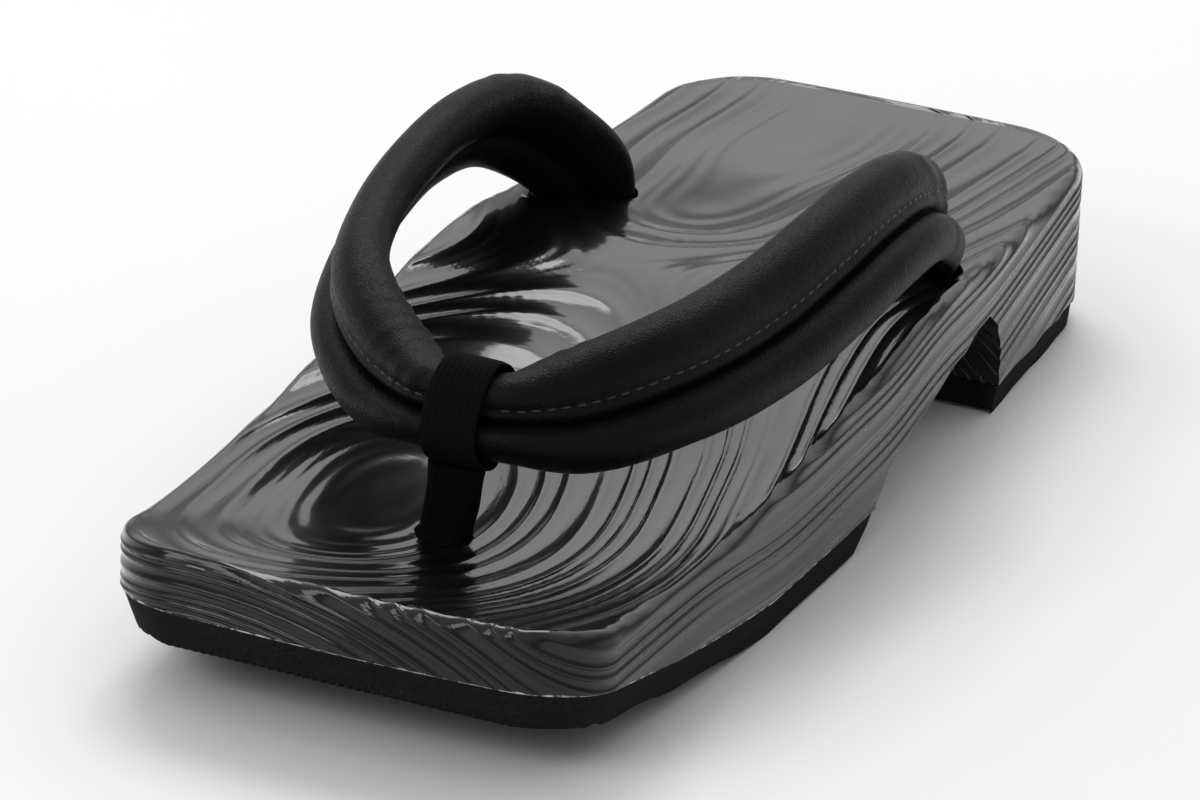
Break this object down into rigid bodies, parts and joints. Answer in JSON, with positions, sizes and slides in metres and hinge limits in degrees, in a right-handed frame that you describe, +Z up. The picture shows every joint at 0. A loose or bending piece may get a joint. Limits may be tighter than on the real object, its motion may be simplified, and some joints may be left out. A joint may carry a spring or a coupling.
{
  "type": "geta sandal",
  "caption": "Low lacquered wooden geta with a rocking front block, a heel tooth, rubber soles, a padded leather thong strap, a fabric toe post and a hemp tie.",
  "frame": {"origin": "middle of the footprint on the floor, under the strap's arch", "axes": "-Y towards the toe, +Y towards the heel, +X to the viewer's right seen from the toe, +Z up"},
  "size_m": [0.1073, 0.266, 0.0711],
  "materials": {
    "lacquered_wood": "glossy black lacquer over raised grain",
    "sole_rubber": "matte charcoal rubber, finely grooved lengthwise",
    "heel_rubber": "matte charcoal rubber, finely grooved lengthwise",
    "strap_leather": "satin black grained leather over padding, topstitched",
    "post_fabric": "ribbed black woven band",
    "tie_hemp": "tan twisted hemp cord"
  },
  "bodies": {
    "root": {"wood_base": "lacquered_wood", "front_outsole": "sole_rubber", "heel_outsole": "heel_rubber", "strap": "strap_leather", "toe_post": "post_fabric", "rear_tie": "tie_hemp"}
  },
  "joints": []
}
